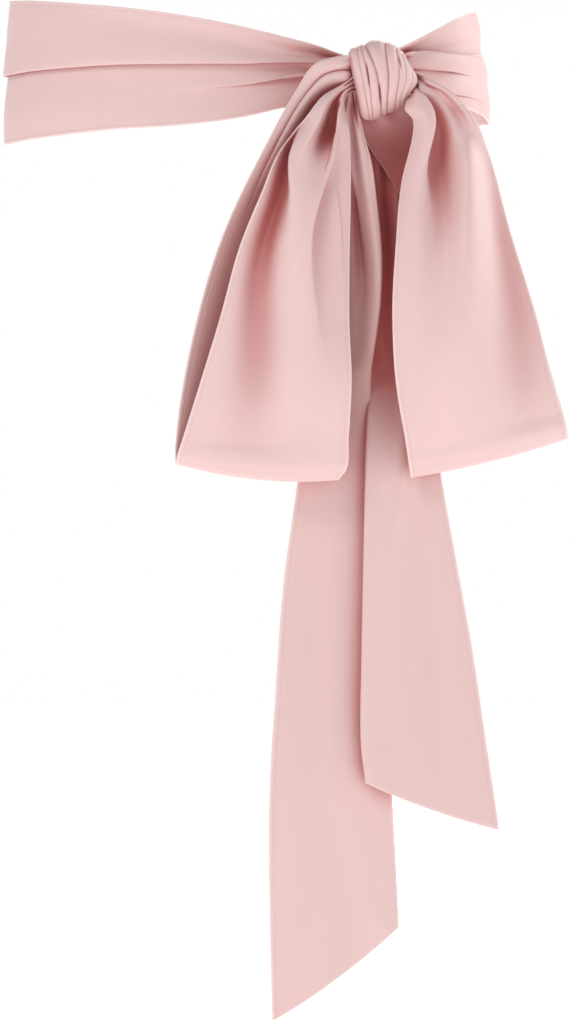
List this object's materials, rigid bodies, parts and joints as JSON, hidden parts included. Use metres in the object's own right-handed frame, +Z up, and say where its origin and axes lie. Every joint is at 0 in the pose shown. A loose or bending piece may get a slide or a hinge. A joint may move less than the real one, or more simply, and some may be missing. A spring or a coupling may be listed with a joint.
{
  "type": "chiffon sash",
  "caption": "Soft chiffon sash worn round the waist and tied at the front in a large bow, with hanging loops and long tails cut on a slant.",
  "frame": {"origin": "middle of the waist that the sash is worn round, at the mean height of its band", "axes": "+Z up along the wearer, the bow is on the front, which faces -Y, and +X is to the right as seen from the front"},
  "size_m": [0.3144, 0.2358, 0.566],
  "materials": {
    "waist_left": "soft satin sheen",
    "waist_right": "soft satin sheen",
    "waist_back": "soft satin sheen",
    "knot": "soft satin sheen",
    "left_loop": "soft satin sheen",
    "right_loop": "soft satin sheen",
    "left_tail": "soft satin sheen",
    "right_tail": "soft satin sheen"
  },
  "bodies": {
    "root": {"waist_left": "waist_left", "waist_right": "waist_right", "waist_back": "waist_back", "knot": "knot", "left_loop": "left_loop", "right_loop": "right_loop", "left_tail": "left_tail", "right_tail": "right_tail"}
  },
  "joints": []
}
